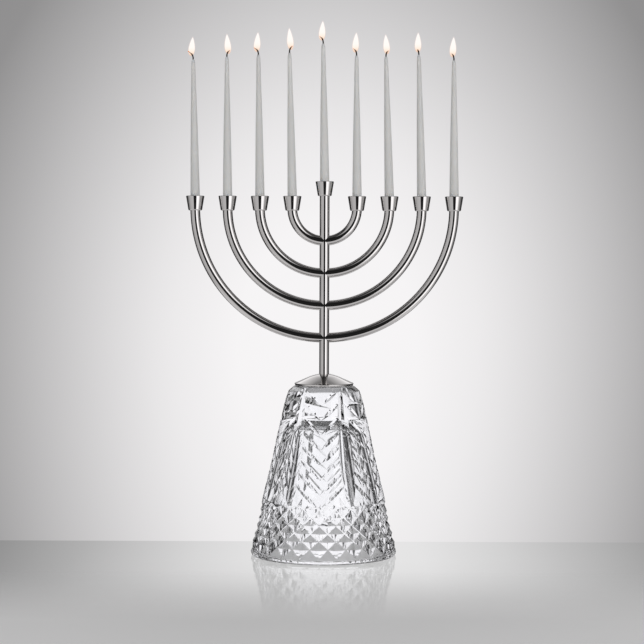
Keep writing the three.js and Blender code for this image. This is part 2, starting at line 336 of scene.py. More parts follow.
def crystal_glass():
    """Lead crystal: perfectly smooth, clear, with the faintest cold streaks."""
    material, tree, shader = new_material("crystal_glass")
    shader.inputs["Transmission Weight"].default_value = 1.0
    shader.inputs["IOR"].default_value = 1.545
    shader.inputs["Roughness"].default_value = 0.0
    cloud = noise_texture(tree, 8.0, 2.0)
    vary(tree, shader.inputs["Base Color"], cloud, [(0.3, (0.985, 0.992, 1.0)), (0.7, (1.0, 1.0, 1.0))])
    return material


def cured_adhesive():
    material, tree, shader = new_material("cured_adhesive")
    cloud = noise_texture(tree, 120.0, 4.0)
    vary(tree, shader.inputs["Base Color"], cloud, [(0.3, (0.80, 0.80, 0.79)), (0.7, (0.90, 0.90, 0.89))])
    shader.inputs["Roughness"].default_value = 0.4
    add_bump(tree, shader, cloud, 0.2, 0.0003)
    return material


def white_wax():
    """Soft white wax: light spreads a few millimetres inside it, and its surface waves slightly along it."""
    material, tree, shader = new_material("white_wax")
    cloud = noise_texture(tree, 35.0, 3.0, (1, 1, 0.25))
    vary(tree, shader.inputs["Base Color"], cloud, [(0.3, (0.52, 0.52, 0.514)), (0.7, (0.56, 0.56, 0.553))])
    shader.inputs["Roughness"].default_value = 0.55
    shader.inputs["Specular IOR Level"].default_value = 0.18
    shader.inputs["Subsurface Weight"].default_value = 0.6
    shader.inputs["Subsurface Radius"].default_value = (0.0050, 0.0044, 0.0038)
    shader.inputs["Subsurface Scale"].default_value = 1.0
    add_bump(tree, shader, noise_texture(tree, 180.0, 4.0, (1, 1, 0.2)), 0.15, 0.0003)
    return material


def charred_cotton():
    """Burnt fibres, with an ember at the wick's top end."""
    material, tree, shader = new_material("charred_cotton")
    fibre = noise_texture(tree, 1400.0, 5.0)
    soot, ash = (0.006, 0.005, 0.004), (0.030, 0.022, 0.018)
    vary(tree, shader.inputs["Base Color"], fibre, [(0.3, soot), (0.75, ash)])
    shader.inputs["Roughness"].default_value = 0.9
    shader.inputs["Specular IOR Level"].default_value = 0.2
    add_bump(tree, shader, fibre, 0.6, 0.0002)
    height = axes(tree, "Generated")[2]
    vary(tree, shader.inputs["Emission Color"], height, [(0.86, (0.0, 0.0, 0.0)), (0.97, (0.9, 0.26, 0.07))])
    shader.inputs["Emission Strength"].default_value = 1.0
    return material


def glowing(name, strength, stops, alpha=1.0):
    """Matter that only gives light; its colours change from its foot to its top."""
    material, tree, shader = new_material(name)
    vary(tree, shader.inputs["Emission Color"], axes(tree, "Generated")[2], stops)
    shader.inputs["Emission Strength"].default_value = strength
    shader.inputs["Base Color"].default_value = (0.0, 0.0, 0.0, 1.0)
    shader.inputs["Specular IOR Level"].default_value = 0.0
    shader.inputs["Alpha"].default_value = alpha
    return material


def flame_core():
    """White-hot body that turns orange where it starts at the wick."""
    orange, peach = (0.92, 0.62, 0.45), (0.96, 0.80, 0.66)
    cream, white = (1.0, 0.94, 0.86), (1.0, 0.99, 0.97)
    return glowing("flame_core", 1.05, [(0.0, orange), (0.10, peach), (0.24, cream), (0.42, white)])


def flame_mantle():
    """The thin, nearly clear outer layer of a flame, with a faint warm glow."""
    stops = [(0.0, (1.0, 0.55, 0.34)), (0.35, (1.0, 0.78, 0.66)), (0.8, (1.0, 0.84, 0.78))]
    return glowing("flame_mantle", 1.0, stops, alpha=0.26)


# ---------------------------------------- crystal base
PANELS = 6
# the crystal stands turned a little about its axis
PANEL_AZIMUTH = math.radians(-4.0)
# (height, radius)
CONE_OUTLINE = [
    (1.6, 74.0), (4.5, 74.5), (16.0, 72.4), (36.0, 66.9), (57.0, 62.8), (77.0, 58.1),
    (97.0, 53.3), (118.0, 48.9), (138.0, 44.4), (159.0, 39.4), (168.5, 36.2),
]
CONE_TOP, CONE_TOP_RADIUS = CONE_OUTLINE[-1]
TOP_FACE_RADIUS = 31.0
TOP_RING_RADIUS = 26.0
SHOULDER_START_Z = CONE_TOP - 1.5
SHOULDER_ROUND = 0.8
CONE_RINGS = 36
# (radius, height) from the hollow's ceiling down to the foot's outer edge, and how far each corner is rounded
CAVITY = [(0.0, 139.0), (29.5, 138.0), (61.0, 0.0), (71.6, 0.0), (73.9, 1.6), (74.4, 3.6)]
CAVITY_ROUNDS = [0, 17.0, 1.6, 0.8, 0.8, 0]
# the band of diamonds: how deep its grooves cross in each row, from the lowest up
DIAMOND_DEPTHS = (0.9, 3.0, 3.0, 3.0, 3.0, 3.0, 1.6)
BAND_ROWS = len(DIAMOND_DEPTHS)
BAND_BOTTOM = 4.5
BAND_ROW_PITCH = 7.9
BAND_TOP = 56.8
LOWEST_ROW_EXTRA = 2.0
# how much of the way to a diamond's middle its flat groove reaches
GROOVE_FLOOR = 0.09
COLUMNS = 48
# how many fine steps the smooth parts have for each column of the band
FINE = 4
AROUND = COLUMNS * FINE
# how far the open side of a cutter stands out of the surface
CUTTER_LID = 2.5
LEAF_ROWS = 8
LEAF_FIRST_Z = 53.8
LEAF_PITCH = 14.57
LEAF_MIDDLE_ABOVE_TIP = 8.0
LEAF_RISE = math.radians(43.0)
LEAF_DEPTH = 1.5
LEAF_FLANK = math.radians(55.0)
LEAF_OVERRUN = 4.5
LEAF_CUTTER_LENGTH = 1.12
LEAF_HALF_STEPS = 14
FLUTE_FLANK = math.radians(60.0)
FLUTE_MIDDLE_Z = 102.0
# (height, half width)
FLUTE_OUTLINE = [
    (56.6, 0.0), (62.0, 3.1), (72.0, 5.8), (87.0, 7.5), (102.0, 8.0), (122.0, 7.5),
    (142.0, 6.2), (157.0, 4.7), (177.0, 2.4),
]
FLUTE_CUTTER_BOTTOM, FLUTE_CUTTER_TOP = 55.0, 184.0
FLUTE_CUTTER_CLEARANCE = 0.35
FLUTE_STEPS = 40


def cone_radius(z):
    return smooth_curve(CONE_OUTLINE, z)


def cone_tilt(z, reach):
    """How far the cone's side leans in from upright, measured from reach below z to reach above it."""
    return math.atan((cone_radius(z - reach) - cone_radius(z + reach)) / (2 * reach))


class Shell:
    """The crystal's vertices and faces while they are put together."""

    def __init__(self):
        self.vertices, self.faces = [], []

    def point(self, radius, azimuth, z):
        self.vertices.append(polar(radius, azimuth, z))
        return len(self.vertices) - 1

    def ring(self, radius, z):
        if radius < ON_AXIS:
            return [self.point(0.0, 0.0, z)] * AROUND
        step = 2 * math.pi / AROUND
        return [self.point(radius, PANEL_AZIMUTH + step * i, z) for i in range(AROUND)]

    def turned(self, profile):
        """Adds the surface that a profile sweeps out, and gives its rings."""
        rings = [self.ring(radius, z) for radius, z in profile]
        self.faces += band_faces(rings)
        return rings

    def pyramid(self, corners, apex):
        """One diamond: a narrow flat groove along its four edges, and four facets up to its apex."""
        middle = sum((self.vertices[c] for c in corners), Vector()) / 4
        inner = []
        for corner in corners:
            self.vertices.append(self.vertices[corner].lerp(middle, GROOVE_FLOOR))
            inner.append(len(self.vertices) - 1)
        for k in range(4):
            n = (k + 1) % 4
            self.faces.append([corners[k], corners[n], inner[n], inner[k]])
            self.faces.append([inner[k], inner[n], apex])


def upper_profile():
    """The cone from the band of diamonds up, over its shoulder and across its flat top."""
    side_heights = [BAND_TOP + (CONE_TOP - BAND_TOP) * i / CONE_RINGS for i in range(CONE_RINGS + 1)]
    side = [(cone_radius(z), z) for z in side_heights if z < SHOULDER_START_Z]
    shoulder = [
        (cone_radius(SHOULDER_START_Z), SHOULDER_START_Z), (CONE_TOP_RADIUS, CONE_TOP),
        (TOP_FACE_RADIUS, CRYSTAL_TOP_Z), (TOP_RING_RADIUS, CRYSTAL_TOP_Z),
    ]
    return side + rounded(shoulder, [0, SHOULDER_ROUND, SHOULDER_ROUND, 0], 4) + [(0.0, CRYSTAL_TOP_Z)]


def band_points(shell):
    """The band's grid by (column, row): the valleys where its grooves cross, and between them the apexes."""
    valleys, apexes = {}, {}
    for row in range(BAND_ROWS):
        z = BAND_BOTTOM + row * BAND_ROW_PITCH + (LOWEST_ROW_EXTRA if row else 0.0)
        for column in range(COLUMNS):
            azimuth = PANEL_AZIMUTH + 2 * math.pi / COLUMNS * column
            if (column + row) % 2 == 0:
                valleys[column, row] = shell.point(cone_radius(z) - DIAMOND_DEPTHS[row], azimuth, z)
            else:
                apexes[column, row] = shell.point(cone_radius(z), azimuth, z)
    return valleys, apexes


def crystal_blank(material):
    """The hollow cone with its band of diamonds, before the leaves and flutes are cut."""
    shell = Shell()
    below_band = shell.turned(rounded(CAVITY, CAVITY_ROUNDS, 16))[-1]
    valleys, apexes = band_points(shell)
    over_band = shell.turned(upper_profile())[0]

    for (column, row), apex in apexes.items():
        left = valleys[(column - 1) % COLUMNS, row]
        right = valleys[(column + 1) % COLUMNS, row]
        below = valleys[column, row - 1] if row > 0 else below_band[column * FINE]
        above = valleys[column, row + 1] if row < BAND_ROWS - 1 else over_band[column * FINE]
        shell.pyramid([below, right, above, left], apex)

    for (column, row), valley in valleys.items():
        span = range((column - 1) * FINE, (column + 1) * FINE)
        if row == 0:
            shell.faces += [[below_band[i % AROUND], below_band[(i + 1) % AROUND], valley] for i in span]
        if row == BAND_ROWS - 1:
            shell.faces += [[valley, over_band[(i + 1) % AROUND], over_band[i % AROUND]] for i in span]
    return add_mesh("crystal_base_cut", shell.vertices, shell.faces, material)


def groove(azimuth, z, turn, flank, stations):
    """A V-section cutter lying on the cone. Its stations are (distance along, height of its edge)."""
    radius = cone_radius(z)
    tilt = cone_tilt(z, 2)
    outward = Vector((math.sin(azimuth), -math.cos(azimuth), 0))
    around = Vector((math.cos(azimuth), math.sin(azimuth), 0))
    up = Vector((0, 0, 1)) * math.cos(tilt) - outward * math.sin(tilt)
    normal = outward * math.cos(tilt) + Vector((0, 0, 1)) * math.sin(tilt)
    along = up * math.cos(turn) + around * math.sin(turn)
    across = normal.cross(along)
    origin = outward * radius + Vector((0, 0, z))
    vertices, rings = [], []
    for distance, height in stations:
        base = origin + along * distance
        lid = base + normal * CUTTER_LID
        half_width = across * ((CUTTER_LID - height) * math.tan(flank))
        first = len(vertices)
        vertices += [base + normal * height, lid + half_width, lid - half_width]
        rings.append([first, first + 1, first + 2])
    return vertices, capped(rings)


def flute_half_width(z):
    if z <= FLUTE_OUTLINE[0][0]:
        return 0.0
    return smooth_curve(FLUTE_OUTLINE, z)


def leaf(panel_azimuth, row, side):
    """One leaf of a V pair, from the panel's centre line out and up to the panel's edge."""
    tip_z = LEAF_FIRST_Z + row * LEAF_PITCH
    middle_z = tip_z + LEAF_MIDDLE_ABOVE_TIP
    radius = cone_radius(middle_z)
    reach = radius * math.pi / PANELS - flute_half_width(middle_z) + LEAF_OVERRUN
    half_length = reach / 2 / math.cos(LEAF_RISE)
    azimuth = panel_azimuth + side * reach / 2 / radius
    centre_z = tip_z + half_length * math.sin(LEAF_RISE)
    turn = side * (math.pi / 2 - LEAF_RISE)
    falling_away = math.cos(LEAF_RISE) ** 2 / (2 * radius)
    stations = []
    for i in range(-LEAF_HALF_STEPS, LEAF_HALF_STEPS + 1):
        s = half_length * LEAF_CUTTER_LENGTH * i / LEAF_HALF_STEPS
        stations.append((s, -LEAF_DEPTH * (1 - (s / half_length) ** 2) - s * s * falling_away))
    return groove(azimuth, centre_z, turn, LEAF_FLANK, stations)


def flute(azimuth):
    """The V groove between two panels: deepest at mid height, pointed at the bottom, open at the top."""
    middle_radius = cone_radius(FLUTE_MIDDLE_Z)
    tilt = cone_tilt(FLUTE_MIDDLE_Z, 20)
    stations = []
    for i in range(FLUTE_STEPS + 1):
        z = FLUTE_CUTTER_BOTTOM + (FLUTE_CUTTER_TOP - FLUTE_CUTTER_BOTTOM) * i / FLUTE_STEPS
        above_middle = z - FLUTE_MIDDLE_Z
        half_width = flute_half_width(min(z, FLUTE_OUTLINE[-1][0]))
        radius = cone_radius(min(z, CONE_TOP))
        depth = half_width / math.tan(FLUTE_FLANK) + half_width**2 / (2 * radius)
        surface = (radius - (middle_radius - above_middle * math.tan(tilt))) * math.cos(tilt)
        clearance = 0.0 if half_width else FLUTE_CUTTER_CLEARANCE
        stations.append((above_middle / math.cos(tilt), surface - depth + clearance))
    return groove(azimuth, FLUTE_MIDDLE_Z, 0.0, FLUTE_FLANK, stations)


def joined(name, parts, material):
    """One object from several separate closed shells."""
    vertices, faces = [], []
    for part_vertices, part_faces in parts:
        offset = len(vertices)
        vertices += part_vertices
        faces += [[offset + index for index in face] for face in part_faces]
    return add_mesh(name, vertices, faces, material)


def make_crystal(material):
    crystal = crystal_blank(material)
    panel_azimuths = [PANEL_AZIMUTH + 2 * math.pi * k / PANELS for k in range(PANELS)]
    cutters = []
    for side in (-1, 1):
        leaves = [leaf(azimuth, row, side) for azimuth in panel_azimuths for row in range(LEAF_ROWS)]
        cutters.append(joined("leaf_cutter", leaves, material))
    flutes = [flute(azimuth + math.pi / PANELS) for azimuth in panel_azimuths]
    cutters.append(joined("flute_cutter", flutes, material))
    cut(crystal, cutters)
    shade(crystal, 14.0)
    place(crystal, ROOT, "crystal", "crystal_base")


# ---------------------------------------- dome cap and what is under it
CAP_WALL = 1.2
CAP_RIM_TAPER = 0.9
CAP_RIM_TOP = 2.4
CAP_RIM_CEILING = 1.5
# the dome's shoulder: its radius, and how far its outside and inside lie under the apex
CAP_SHOULDER_RADIUS = 11.0
CAP_SHOULDER_DROP = 0.95
CAP_SHOULDER_CEILING_DROP = 2.2
CAP_APEX_RADIUS = 5.4
CAP_CEILING_RADIUS = 5.5
CAP_HOLE_RADIUS = 2.8
CAP_ROUNDS = [0, 0.25, 0.5, 6.0, 1.0, 0.2, 0.2, 0.5, 2.0, 0.3, 0]
WASHER_HOLE_RADIUS = 2.65
DISC_EDGE_ROUND = 0.25


def make_dome(metal):
    rim = CAP_HIGH.x
    low, apex = CAP_LOW.z, CAP_HIGH.z
    corners = [
        (rim - CAP_WALL, low), (rim - CAP_RIM_TAPER, low), (rim, low + CAP_RIM_TOP),
        (CAP_SHOULDER_RADIUS, apex - CAP_SHOULDER_DROP), (CAP_APEX_RADIUS, apex), (CAP_HOLE_RADIUS, apex),
        (CAP_HOLE_RADIUS, apex - CAP_WALL), (CAP_CEILING_RADIUS, apex - CAP_WALL),
        (CAP_SHOULDER_RADIUS, apex - CAP_SHOULDER_CEILING_DROP), (rim - CAP_WALL, low + CAP_RIM_CEILING),
        (rim - CAP_WALL, low),
    ]
    profile = rounded(corners, CAP_ROUNDS, 6)[:-1]
    place(add_mesh("dome_cap", *revolve(profile, 160), metal, 40), ROOT, "satin_metal", "base_cap")


def make_disc(node, name, material, slot):
    """A plain round plate with slightly rounded edges."""
    low, high = box_mm(node)
    edge = min(DISC_EDGE_ROUND, (high.z - low.z) / 3)
    profile = rounded([(0, low.z), (high.x, low.z), (high.x, high.z), (0, high.z)], [0, edge, edge, 0], 3)
    place(add_mesh(name, *revolve(profile, 96), material), ROOT, slot, node)


def make_cap(metal, steel, adhesive):
    make_dome(metal)
    make_disc("bond_pad", "adhesive_layer", adhesive, "adhesive")
    make_disc("cap_mounting_disc", "mounting_disc", steel, "plain_steel")
    low, high = box_mm("rod_washer")
    inside_bottom = (WASHER_HOLE_RADIUS, low.z)
    corners = [inside_bottom, (high.x, low.z), (high.x, high.z), (WASHER_HOLE_RADIUS, high.z), inside_bottom]
    profile = rounded(corners, [0, 0.15, 0.15, 0.1, 0], 3)[:-1]
    place(add_mesh("washer", *revolve(profile, 64), steel), ROOT, "plain_steel", "rod_washer")


# ---------------------------------------- arms and stem
TUBE_SIDES = 40
# a longer arm has more steps
ARM_STEPS = 60
MORE_STEPS = 30
# how far the stem's ends reach into the dome's apex and up into the middle cup
STEM_INTO_CAP = 0.3
STEM_INTO_CUP = 2.5


def make_tree(metal):
    for arm, radius in zip(ARM_NUMBERS, ARM_RADII):
        steps = ARM_STEPS + MORE_STEPS * arm
        path = []
        for i in range(steps + 1):
            angle = math.pi * (1 + i / steps)
            path.append(Vector((radius * math.cos(angle), 0, ARM_CENTRE_Z + radius * math.sin(angle))))
        sections = [circle(TUBE_RADIUS, TUBE_SIDES)] * len(path)
        place(add_mesh(f"arm_bar_{arm}", *sweep(path, sections), metal), ROOT, "satin_metal", f"arm_{arm}")

    heights = [CAP_HIGH.z - STEM_INTO_CAP] + [ARM_CENTRE_Z - radius for radius in reversed(ARM_RADII)]
    heights.append(standing(f"candle_cup_{MIDDLE_CANDLE}")[1] + STEM_INTO_CUP)
    for i, (bottom, top) in enumerate(zip(heights, heights[1:]), start=1):
        profile = [(0, bottom), (TUBE_RADIUS, bottom), (TUBE_RADIUS, top), (0, top)]
        stem = add_mesh(f"stem_length_{i}", *revolve(profile, TUBE_SIDES), metal)
        place(stem, ROOT, "satin_metal", f"stem_segment_{i}")


# ---------------------------------------- cups
CUP_RIM_RADIUS = 9.4
CUP_FOOT_RADIUS = 6.95
SOCKET_RADIUS = 5.15
SOCKET_DEPTH = 10.0
# the recess that sits over the end of the arm or stem
RECESS_RADIUS = 5.1
RECESS_DEPTH = 2.8
# (hole radius, countersink radius) in the floor: for a cup screw, and for the tie rod in the middle cup
SCREW_HOLE = (1.7, 3.1)
ROD_HOLE = (2.8, 4.5)
CUP_ROUNDS = [0, 1.3, 0.9, 0.35, 0.4, 0.1, 0.1, 0.1, 0.2, 0]


def make_cup(number, metal):
    x, bottom, top = standing(f"candle_cup_{number}")
    floor = top - SOCKET_DEPTH
    recess_top = bottom + RECESS_DEPTH
    hole, sink = ROD_HOLE if number == MIDDLE_CANDLE else SCREW_HOLE
    corners = [
        (RECESS_RADIUS, bottom), (CUP_FOOT_RADIUS, bottom), (CUP_RIM_RADIUS, top), (SOCKET_RADIUS, top),
        (SOCKET_RADIUS, floor), (sink, floor), (hole, floor - (sink - hole)), (hole, recess_top),
        (RECESS_RADIUS, recess_top), (RECESS_RADIUS, bottom),
    ]
    profile = rounded(corners, CUP_ROUNDS, 6)[:-1]
    cup = add_mesh(f"cup_{number}", *revolve(profile, 96, (x, 0)), metal, 50)
    place(cup, ROOT, "satin_metal", f"candle_cup_{number}")


# ---------------------------------------- fasteners
FINE_PITCH, COARSE_PITCH = 0.5, 0.8
THREAD_DEPTH = 0.3
THREAD_END_CHAMFER = 0.4
HEAD_EDGE_HEIGHT, HEAD_EDGE_WIDTH = 0.12, 0.1
HEX_SHARE_OF_SHANK = 0.75
HEX_RECESS_DEPTH = 1.1
HEX_RECESS_POINT = 0.1
NUT_HOLE_RADIUS = 2.6
NUT_CORNER_RADIUS = 4.62
NUT_CHAMFER_INNER, NUT_CHAMFER_OUTER = 3.9, 4.75
NUT_CHAMFER_HEIGHT = 0.45
OUTSIDE_NUT = 6.5


def countersunk_screw(name, node, steel, shank, head, thread_length, pitch):
    """A countersunk fastener with a hexagon recess in its head and a thread on its lower end."""
    x, bottom, top = standing(node)
    root = shank - THREAD_DEPTH
    thread_bottom = bottom + THREAD_DEPTH
    profile = [(0, bottom), (shank - THREAD_END_CHAMFER, bottom)]
    turns = int(thread_length / pitch)
    for turn in range(turns):
        z = thread_bottom + turn * pitch
        profile += [(root, z), (shank, z + pitch / 2)]
    thread_top = thread_bottom + turns * pitch
    profile += [(root, thread_top), (shank, thread_top + THREAD_DEPTH)]
    profile += [(shank, top - (head - shank)), (head, top - HEAD_EDGE_HEIGHT)]
    profile += [(head - HEAD_EDGE_WIDTH, top), (0, top)]
    screw = add_mesh(name, *revolve(profile, 48, (x, 0)), steel)
    key = shank * HEX_SHARE_OF_SHANK
    floor = top - HEX_RECESS_DEPTH
    recess = [(0, floor), (key, floor + HEX_RECESS_POINT), (key, top + 1), (0, top + 1)]
    cut(screw, [add_mesh("recess_cutter", *revolve(recess, 6, (x, 0)), steel)])
    shade(screw, 30)
    place(screw, ROOT, "plain_steel", node)


def make_nut(steel):
    """A hexagon nut, its corners chamfered by a ring-shaped cutter that leaves a double cone inside."""
    low, high = box_mm("rod_nut")
    profile = [
        (NUT_HOLE_RADIUS, low.z), (NUT_CORNER_RADIUS, low.z),
        (NUT_CORNER_RADIUS, high.z), (NUT_HOLE_RADIUS, high.z),
    ]
    nut = add_mesh("hex_nut", *revolve(profile, 6, start=math.pi / 6), steel)
    chamfer = [
        (NUT_CHAMFER_INNER, low.z - 1), (OUTSIDE_NUT, low.z - 1), (OUTSIDE_NUT, high.z + 1),
        (NUT_CHAMFER_INNER, high.z + 1), (NUT_CHAMFER_OUTER, high.z - NUT_CHAMFER_HEIGHT),
        (NUT_CHAMFER_OUTER, low.z + NUT_CHAMFER_HEIGHT),
    ]
    cut(nut, [add_mesh("chamfer_cutter", *revolve(chamfer, 64), steel)])
    shade(nut, 25)
    place(nut, ROOT, "plain_steel", "rod_nut")


def make_fasteners(steel):
    for number in CANDLE_NUMBERS:
        if number != MIDDLE_CANDLE:
            countersunk_screw(f"screw_{number}", f"cup_screw_{number}", steel, 1.5, 2.75, 5.0, FINE_PITCH)
    countersunk_screw("clamping_rod", "tie_rod", steel, 2.5, 4.2, 22.0, COARSE_PITCH)
    make_nut(steel)


# ---------------------------------------- candles, wicks and flames
LIFTS = {joint["child"]: Vector(joint["axis"]).normalized() for joint in frame["joints"]}
CANDLE_OVER_FLOOR = 0.35
# a candle's outline: (radius, height over its foot) to the last bend, then (radius, depth under its tip)
TAPER_BODY = [
    (0, 0), (4.55, 0), (4.75, 0.6), (4.75, 12), (4.42, 30), (3.98, 58), (3.6, 78), (3.08, 100), (2.55, 119),
]
TAPER_TIP = [(2.1, 9), (1.85, 2.6), (1.25, 0.6), (1.0, 0), (0.85, 0.4), (0.85, 3.8), (0, 3.8)]
TAPER_ROUNDS = [0, 0.1, 0.3, 6, 8, 8, 8, 8, 6, 3, 0.8, 0.4, 0.15, 0.15, 0.2, 0]
WICK_RADIUS = 0.74
WICK_SIDES = 18
WICK_ROOT_DEPTH = 3.5
WICK_ROOT_LENGTH = 4.0
WICK_ROOT_STEPS = 6
WICK_CURL_STEPS = 16
WICK_TWIST = 0.55
WICK_LOBES = 3
WICK_LOBE_DEPTH = 0.14
# how far the end of the wick's middle line lies inside its box
WICK_INSET_ASIDE, WICK_INSET_TOP = 0.5, 0.4
# how high each flame ends above its candle's tip
FLAME_TOPS = [22.4, 22.5, 22.4, 24.8, 22.6, 22.9, 22.0, 22.2, 23.3]
FLAME_RADIUS = 3.35
FLAME_BEHIND_WICK = 1.9
FLAME_TIP_BEHIND = 0.8
# where a flame's foot and tip lie, as shares of how far its wick curls aside and rises
FLAME_FOOT_ASIDE, FLAME_FOOT_UP, FLAME_TIP_ASIDE = 0.42, 0.5, 0.05
FLAME_FULLNESS = 0.72
FLAME_THINNING = 0.22
FLAME_SIDES, FLAME_STEPS = 28, 26
MANTLE_SWELL = 0.55


class Candle:
    """Where one candle stands: its body, its leaning axis and its length, worked out from the frame."""

    def __init__(self, number):
        self.number = number
        self.body = f"candle_{number}_body"
        self.axis = LIFTS[self.body]
        x, _, cup_top = standing(f"candle_cup_{number}")
        self.pivot = Vector((x, 0, cup_top - SOCKET_DEPTH / 2))
        self.foot = CANDLE_OVER_FLOOR - SOCKET_DEPTH / 2
        candle_top = box_mm(f"candle_{number}")[1].z
        self.length = (candle_top - self.pivot.z - self.foot * self.axis.z) / self.axis.z

    def leaning(self, vertices):
        """Moves points given upright, from the middle of the candle's foot, on to its leaning axis."""
        side = Vector((self.axis.z, 0, -self.axis.x))
        across = [self.pivot + side * v.x + Vector((0, v.y, 0)) for v in vertices]
        return [point + self.axis * (v.z + self.foot) for point, v in zip(across, vertices)]

    def add(self, name, vertices, faces, material, sharp_degrees, slot, *nodes):
        piece = add_mesh(f"{name}_{self.number}", self.leaning(vertices), faces, material, sharp_degrees)
        place(piece, self.body, slot, *nodes)


def wick_curl(candle):
    """How far sideways and how far up the wick's end lies from the candle's tip, read from its box."""
    low, high = box_mm(f"wick_{candle.number}")
    base = candle.pivot + candle.axis * (candle.foot + candle.length)
    curls_left = base.x - low.x > high.x - base.x
    sideways = (low.x - base.x + WICK_INSET_ASIDE) if curls_left else (high.x - base.x - WICK_INSET_ASIDE)
    return sideways, high.z - base.z - WICK_INSET_TOP


def make_taper(candle, wax):
    corners = TAPER_BODY + [(radius, candle.length - depth) for radius, depth in TAPER_TIP]
    vertices, faces = revolve(rounded(corners, TAPER_ROUNDS, 4), 48)
    candle.add("taper", vertices, faces, wax, 60, "wax", f"candle_{candle.number}")


def twisted_ring(size, turn):
    """A three-lobed section, as of three plies of cotton."""
    ring = []
    for k in range(WICK_SIDES):
        angle = 2 * math.pi * k / WICK_SIDES
        lobe = abs(math.cos(WICK_LOBES / 2 * (angle + turn)))
        radius = size * (1 - WICK_LOBE_DEPTH + WICK_LOBE_DEPTH * lobe)
        ring.append((radius * math.cos(angle), radius * math.sin(angle)))
    return ring


def make_wick(candle, char, sideways, up):
    """A twisted wick that starts inside the wax, curls over and thins out at its end."""
    tip = candle.length
    root = tip - WICK_ROOT_DEPTH
    path = [Vector((0, 0, root + WICK_ROOT_LENGTH * i / WICK_ROOT_STEPS)) for i in range(WICK_ROOT_STEPS)]
    start = Vector((0, 0, root + WICK_ROOT_LENGTH))
    control, end = Vector((0, 0, tip + 0.75 * up)), Vector((sideways, 0, tip + up))
    path += [bend(start, control, end, i / WICK_CURL_STEPS) for i in range(WICK_CURL_STEPS + 1)]
    last = len(path) - 1
    sections = []
    for i in range(len(path)):
        size = WICK_RADIUS * min(1.0, 0.45 + 3.0 * (last - i) / last)
        sections.append(twisted_ring(size, WICK_TWIST * i))
    vertices, faces = sweep(path, sections)
    candle.add("burnt_wick", vertices, faces, char, 50, "charred_wick", f"wick_{candle.number}")


def flame_shell(foot, peak, swell):
    """A teardrop from foot to peak, fullest a third of the way up, made fatter and longer by swell."""
    vertices, rings = [], []
    longer = (peak - foot).normalized() * swell
    for i in range(FLAME_STEPS + 1):
        t = i / FLAME_STEPS
        centre = (foot - longer).lerp(peak + longer * 1.5, t)
        first = len(vertices)
        if i in (0, FLAME_STEPS):
            vertices.append(centre)
            rings.append([first] * FLAME_SIDES)
            continue
        outline = math.sin(math.pi * t**FLAME_FULLNESS) ** FLAME_FULLNESS * (1 - FLAME_THINNING * t)
        radius = (FLAME_RADIUS + swell) * outline
        vertices += [centre + polar(radius, 2 * math.pi * k / FLAME_SIDES, 0) for k in range(FLAME_SIDES)]
        rings.append(list(range(first, first + FLAME_SIDES)))
    return vertices, band_faces(rings)


def make_flame(candle, core, mantle, sideways, up):
    foot = Vector((FLAME_FOOT_ASIDE * sideways, FLAME_BEHIND_WICK, candle.length + FLAME_FOOT_UP * up))
    top = candle.length + FLAME_TOPS[candle.number - 1]
    peak = Vector((FLAME_TIP_ASIDE * sideways, FLAME_TIP_BEHIND, top))
    for name, material, swell in (("flame", core, 0.0), ("flame_mantle", mantle, MANTLE_SWELL)):
        candle.add(name, *flame_shell(foot, peak, swell), material, 80, None)


def make_candle(number, wax, char, core, mantle):
    candle = Candle(number)
    sideways, up = wick_curl(candle)
    make_taper(candle, wax)
    make_wick(candle, char, sideways, up)
    make_flame(candle, core, mantle, sideways, up)


# ---------------------------------------- table, in metres but for its outline
TABLE_REACH = 2500
TABLE_NEAR_EDGE = -2600
TABLE_FAR_EDGE = 87
TABLE_THICKNESS = 18
# painted light on the far part of the table, an emission standing in for the lit backdrop it mirrors, from
# left to right: (x, level)
GLOW_REACH = 0.35
TABLE_PAINTED_GLOW = [
    (-0.35, 0.25), (-0.253, 0.382), (-0.19, 0.508), (-0.128, 0.642), (-0.06, 0.745), (0.04, 0.775),
    (0.10, 0.765), (0.134, 0.708), (0.187, 0.623), (0.249, 0.509), (0.35, 0.35),
]
# how much of that painted light there is from the near part to the far edge: (y, share)
FADE_START, FADE_END = -0.45, 0.10
TABLE_FADE = [
    (-0.3554, 0.0), (-0.3109, 0.14), (-0.263, 0.30), (-0.213, 0.53), (-0.1596, 0.77), (-0.1024, 0.95),
    (-0.0419, 1.0),
]
MIRROR_SHARE = 0.33


